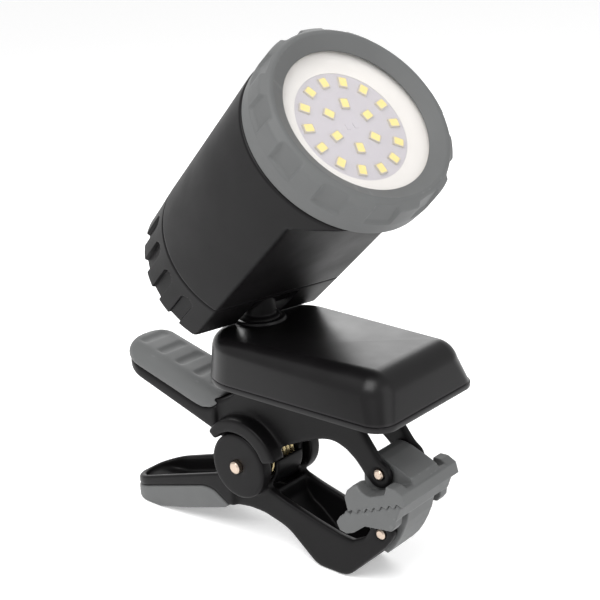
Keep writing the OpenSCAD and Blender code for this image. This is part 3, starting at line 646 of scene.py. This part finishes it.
def build_cap():
    """The rear cap: slots round its upper side, a notch for the neck, the button's hole and screw holes."""
    x0, x1 = cap_low[0], seam_x - 0.04
    slots, pitch, half, depth, end_x = 13, math.radians(18.5), 2.33, 1.65, 2.5
    corner_r = 1.2
    xs = [x0, x0 + 0.05, x0 + 0.2, x0 + 0.5, x0 + 0.9, x0 + 1.4]
    xs += [x0 + 1.7 + i * 0.3 for i in range(int((x1 - x0 - 2.4) / 0.3))]
    xs += [x1 - 0.45, x1 - 0.2, x1 - 0.02]

    def skin(x):
        """The cap's radius, a hair under the barrel's."""
        t = x - x0
        round_in = 0.55 * (1 - math.sqrt(max(0.0, 1 - max(0.0, 1 - t / 0.6) ** 2)))
        taper = 0.25 * (1 - t / (x1 - x0))
        lip = 0.35 * smoothstep(1 - (x1 - x) / 0.4)
        return barrel_r - 0.02 - round_in - taper - lip

    def radius(x, r, angle):
        corner = corner_r * (1 - math.sqrt(max(0.0, 1 - max(0.0, 1 - (x - x0) / corner_r) ** 2)))
        lip = 0.3 * smoothstep(1 - (x1 - x) / 0.4)
        body = with_flat(x, r, angle, flat_d - corner - lip)
        index = round((angle - math.pi) / pitch)
        if abs(index) > slots // 2:
            return body
        centre = math.pi + index * pitch
        across = math.sin(angle - centre) * barrel_r
        reach = end_x + math.sqrt(max(0.0, half ** 2 - min(abs(across), half) ** 2))
        inside = smoothstep((half - abs(across)) / 0.35 + 0.5) * smoothstep((reach - x) / 0.45 + 0.5)
        floor = (barrel_r - depth) / math.cos(angle - centre)
        return body + (min(floor, body) - body) * inside

    work = bmesh.new()
    rings = turned_rings(HEAD, axis_z, [(x, skin(x)) for x in xs], 720, radius)
    loft(work, rings, cap_start=True, cap_end=True)
    mesh = finish_mesh(work, "rear_cap")
    notch_y, notch_x, notch_z = 9.1, 7.6, 6.4
    button_hole, screw_hole = 6.5, 2.7
    cutters = [cutter_box((x0 - 5, -notch_y, -30), (notch_x, notch_y, notch_z), HEAD, 0.5)]
    button_z = middle(local_box_mm("switch_button", HEAD))[2]
    cutters.append(cutter_round(button_hole, x0 - 3, x0 + 4.6, 0, button_z, HEAD, 64))
    for lump in islands("cap_screws"):
        centre = middle(to_mm(lump, HEAD))
        cutters.append(cutter_round(screw_hole, x0 - 3, x0 + 2, centre[1], centre[2], HEAD))
    crease(link(carve(mesh, "cap", cutters), "rear_cap_shell", BLACK, ["rear_cap"], "head"), 38)


build_barrel()
build_bezel()
build_reflector()
build_lens()
build_chips()
build_cap()

# ---------------------------------------------------------------- battery box

base_low, base_high = local_box_mm("box_base", CLAMP)
BOX_REAR, BOX_FRONT, BOX_HALF = base_low[0], base_high[0], base_high[1]
SHELL_Z = local_box_mm("box_shell", CLAMP)[0][2]
SHELL_TOP = SHELL_Z + 13.8
REAR_ROUND, FRONT_ROUND = 17.2, 7


def box_outline(rear, front):
    """A closed outline from rear and front corner arcs, each (centre x, centre y, radius, height) in mm."""
    steps, side = 20, 14
    pts = []

    def arc(c, a0, a1, sign):
        cx, cy, r, z = c
        for i in range(steps + 1):
            a = math.radians(a0 + (a1 - a0) * i / steps)
            pts.append(Vector((cx + r * math.cos(a), sign * cy + r * math.sin(a), z)))

    def run(b):
        a = pts[-1].copy()
        for i in range(1, side):
            pts.append(a + (b - a) * i / side)

    arc(front, -90, 0, -1)
    run(Vector((front[0] + front[2], front[1], front[3])))
    arc(front, 0, 90, 1)
    run(Vector((rear[0], rear[1] + rear[2], rear[3])))
    arc(rear, 90, 180, 1)
    run(Vector((rear[0] - rear[2], -rear[1], rear[3])))
    arc(rear, 180, 270, -1)
    run(Vector((front[0], -front[1] - front[2], front[3])))
    return [CLAMP @ (p * MM) for p in pts]


def box_rings(inset):
    """The shell's skin, from its rim up to the edge of its flat top: steep walls, then a wide roll-over."""
    rear_rim = (BOX_REAR + REAR_ROUND, BOX_HALF - REAR_ROUND, 17 - inset, SHELL_Z)
    front_rim = (BOX_FRONT - FRONT_ROUND, BOX_HALF - FRONT_ROUND, 6.5 - inset, SHELL_Z)
    rear_roll, front_roll = 4.5, 8.2

    def rear_ring(a):
        roll = rear_roll - inset
        return (BOX_REAR + 17.5, BOX_HALF - 17.5, 12 + roll * math.cos(a),
                SHELL_TOP - rear_roll + roll * math.sin(a))

    def front_ring(a):
        roll = front_roll - inset
        return (BOX_FRONT - 10.6, BOX_HALF - 10.4, max(roll * math.cos(a), 0.02),
                SHELL_TOP - front_roll + roll * math.sin(a))

    def between(a, b, t):
        return tuple(p + (q - p) * t for p, q in zip(a, b))

    rear_a, front_a = math.radians(5), math.radians(15)
    rings = [box_outline(between(rear_rim, rear_ring(rear_a), i / 9),
                         between(front_rim, front_ring(front_a), i / 9)) for i in range(9)]
    rings += [box_outline(rear_ring(rear_a + (math.pi / 2 - rear_a) * i / 16),
                          front_ring(front_a + (math.pi / 2 - front_a) * i / 16)) for i in range(17)]
    return rings


def build_cover():
    """The battery box's shell with the low ring that the neck stands in, on the line of the main pin."""
    work = bmesh.new()
    outer = loft(work, box_rings(0.0), cap_end=True)
    inner = loft(work, box_rings(1.8), cap_end=True)
    count = len(outer[0])
    for k in range(count):
        n = (k + 1) % count
        work.faces.new((outer[0][k], outer[0][n], inner[0][n], inner[0][k]))
    profile = rounded_profile([(7.15, -0.4, 0), (9.8, -0.05, 0), (8.8, 0.1, 0.7), (8.6, 1.18, 0.6),
                               (7.3, 1.18, 0.4), (7.15, 0.8, 0)], 5)
    rings = [[CLAMP @ (Vector((r * math.cos(a), r * math.sin(a), SHELL_TOP + z)) * MM)
              for a in (2 * math.pi * k / 96 for k in range(96))] for r, z in profile]
    loft(work, rings, closed=True)
    crease(link(finish_mesh(work, "box_shell"), "box_cover", BLACK_BOX, ["box_shell"], "upper_clamp"), 50)


def build_floor():
    """The battery box's floor plate, with round wells for the screws out at its sides."""
    z0, z1 = base_low[2], SHELL_Z - 0.08

    def plan(inset, z):
        return box_outline((BOX_REAR + REAR_ROUND, BOX_HALF - REAR_ROUND, REAR_ROUND - inset, z),
                           (BOX_FRONT - FRONT_ROUND, BOX_HALF - FRONT_ROUND, FRONT_ROUND - inset, z))

    work = bmesh.new()
    loft(work, [plan(0.6, z0), plan(0.15, z0 + 0.15), plan(0.0, z0 + 0.5), plan(0.0, z1 - 0.35),
                plan(0.12, z1 - 0.1), plan(0.35, z1), plan(0.6, z1)], cap_start=True, cap_end=True)
    mesh = finish_mesh(work, "box_base")
    well_r, well_depth, middle_strip = 2.8, 1.2, 5
    upright = CLAMP @ Matrix(((0, 0, 1, 0), (0, 1, 0, 0), (-1, 0, 0, 0), (0, 0, 0, 1)))
    cutters = []
    for lump in islands("shell_screws") + islands("lever_screws"):
        centre = middle(to_mm(lump, CLAMP))
        if abs(centre[1]) > middle_strip:
            cutters.append(cutter_round(well_r, -(z0 + well_depth), -(z0 - 2), centre[1], centre[0], upright))
    crease(link(carve(mesh, "base", cutters), "box_floor", BLACK_BOX, ["box_base"], "upper_clamp"), 38)


build_cover()
build_floor()

# ---------------------------------------------------------------- clamp

grip_low, grip_high = local_box_mm("upper_grip", CLAMP)
handle_half, handle_tip = grip_high[1], grip_low[0]
HANDLE_ROUND = 11.0
GRIP_ROLL = 5.2
CORE_BELOW_GRIP = 0.8


def crown(x):
    """Height of the upper grip's top along its middle: a straight fall from its level front end."""
    return min(28.9 - 0.2586 * (x + 42.7), 32.1)


def rolled_top(p):
    """Height of the grip's top at p, rolling over all round the handle's plan."""
    cx = min(p.x - (handle_tip + HANDLE_ROUND), 0.0)
    cy = max(abs(p.y) - (handle_half - HANDLE_ROUND), 0.0)
    inset = HANDLE_ROUND - math.hypot(cx, cy)
    t = max(0.0, 1 - max(0.0, inset) / GRIP_ROLL)
    return crown(p.x) - GRIP_ROLL * (1 - math.sqrt(max(0.0, 1 - t * t)))


def grip_shape(p):
    """The grip rolls over at its sides and at its tip alike."""
    if p.x > -14:
        return p
    return Vector((p.x, p.y, min(p.z, rolled_top(p))))


def core_shape(p):
    """The black core stays under the grip's rounded tip."""
    if p.x > -46 or p.z < 24:
        return p
    return Vector((p.x, p.y, min(p.z, rolled_top(p) - CORE_BELOW_GRIP)))


moulded("upper_lever", BLACK, 0.28, 5, 0.45, [((-18, 7.5, 3), (-3, 12.5, 24), 90)], core_shape)
moulded("lower_lever", BLACK, 0.28, 5, 0.45, [((-13, 7.5, -21), (-2, 12.2, -13), 60)])
moulded("upper_grip", GREY, 0.28, 20, 0.5, (), grip_shape)
moulded("lower_grip", GREY, 0.25, 9, 0.5)


PAD_AXIS = Vector(JOINTS["upper_pad_swivel"]["pos_m"]) / MM - CLAMP.translation / MM
PAD_LEAN = math.radians(22.8)
PAD_ALONG = Vector((math.cos(PAD_LEAN), 0, math.sin(PAD_LEAN)))
PAD_UP = Vector((-math.sin(PAD_LEAN), 0, math.cos(PAD_LEAN)))
WING_START_Y, DIP_DEPTH, ROOM_BEHIND, ROOM_AHEAD = 10.2, 4.9, 5.1, 6.5


def around_arm(p):
    """The upper pad's wings dip round the ends of the arms that hold it."""
    offset = p - PAD_AXIS
    s, t = offset.dot(PAD_ALONG) + 0.61, offset.dot(PAD_UP) + 0.17
    room = ROOM_BEHIND if s < 0 else ROOM_AHEAD
    if abs(p.y) < WING_START_Y or abs(s) > room:
        return p
    return p - PAD_UP * max(0.0, t - max(-math.sqrt(room ** 2 - s * s), -DIP_DEPTH))


moulded("upper_jaw_pad", GREY, 0.2, 3, 0.4, (), around_arm)
moulded("lower_jaw_pad", GREY, 0.2, 3, 0.4)
moulded("neck", BLACK, 0.2, 3, 0.5)

# ---------------------------------------------------------------- carried-over nodes

CARRIED = {
    "main_pin": PIN, "upper_jaw_pin": PIN, "lower_jaw_pin": PIN, "torsion_spring": SPRING,
    "shell_screws": ZINC, "lever_screws": ZINC, "battery_cell_1": CELL, "battery_cell_2": CELL,
    "battery_cell_3": CELL, "rear_contacts": ZINC, "front_contacts": ZINC, "neck_washer": ZINC,
    "neck_retainer": ZINC, "tilt_pin": ZINC, "lens_seal": SEAL, "led_board": BOARD, "heat_sink": ALLOY,
    "standoffs": ZINC, "driver_board": GREEN, "cap_screws": ZINC, "switch_body": SWITCH, "switch_button": GREY,
}
for node, material in CARRIED.items():
    data = NODES[node].data
    data.materials.clear()
    data.materials.append(material)

# ---------------------------------------------------------------- floor, light and camera

FLOOR_HALF, FLOOR_GAP = 30.0, 0.0002
low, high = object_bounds()
floor_mesh = bpy.data.meshes.new("floor")
work = bmesh.new()
bmesh.ops.create_grid(work, x_segments=1, y_segments=1, size=FLOOR_HALF)
work.to_mesh(floor_mesh)
work.free()
floor = bpy.data.objects.new("floor", floor_mesh)
floor.location.z = low[2] - FLOOR_GAP
bpy.context.scene.collection.objects.link(floor)
pale = bpy.data.materials.new("pale_floor")
pale.use_nodes = True
for socket, value in (("Base Color", (0.95, 0.95, 0.95, 1)), ("Roughness", 0.9),
                      ("Emission Color", (1, 1, 1, 1)), ("Emission Strength", 0.29)):
    pale.node_tree.nodes["Principled BSDF"].inputs[socket].default_value = value
floor_mesh.materials.append(pale)

world = bpy.data.worlds.new("studio")
world.use_nodes = True
world.node_tree.nodes["Background"].inputs["Color"].default_value = (1, 1, 1, 1)
world.node_tree.nodes["Background"].inputs["Strength"].default_value = 0.7
bpy.context.scene.world = world

# Where the camera looks and stands, as solved from the photograph's outlines.
AIM = Vector((-0.0461, 0.0084, 0.0525))
VIEW_DISTANCE = 0.3937
AZIMUTH, ELEVATION, ROLL = (math.radians(a) for a in (41.0, 18.0, -2.5))


def area_light(name, azimuth, elevation, distance, size, power):
    """A square soft white light that faces the lamp, placed by the compass as seen from it."""
    data = bpy.data.lights.new(name, "AREA")
    data.energy, data.size = power, size
    light = bpy.data.objects.new(name, data)
    a, e = math.radians(azimuth), math.radians(elevation)
    away = Vector((math.sin(a) * math.cos(e), -math.cos(a) * math.cos(e), math.sin(e)))
    light.location = AIM + away * distance
    light.rotation_euler = away.to_track_quat("Z", "Y").to_euler()
    bpy.context.scene.collection.objects.link(light)


area_light("key", 10, 55, 0.9, 0.6, 7.5)
area_light("fill", 95, 20, 1.0, 0.7, 2.0)
area_light("back", 221, 27, 1.0, 0.7, 4.6)

look = Vector((-math.sin(AZIMUTH) * math.cos(ELEVATION), math.cos(AZIMUTH) * math.cos(ELEVATION),
               -math.sin(ELEVATION)))
level = Vector((math.cos(AZIMUTH), math.sin(AZIMUTH), 0))
upright = level.cross(look)
right = level * math.cos(ROLL) + upright * math.sin(ROLL)
top = upright * math.cos(ROLL) - level * math.sin(ROLL)
camera_data = bpy.data.cameras.new("camera")
camera_data.sensor_width, camera_data.lens, camera_data.clip_start = 36.0, 72.0, 0.01
camera = bpy.data.objects.new("camera", camera_data)
matrix = Matrix((right, top, -look)).transposed().to_4x4()
matrix.translation = AIM - look * VIEW_DISTANCE
camera.matrix_world = matrix
bpy.context.scene.collection.objects.link(camera)
bpy.context.scene.camera = camera
bpy.context.scene.view_settings.view_transform = "Standard"
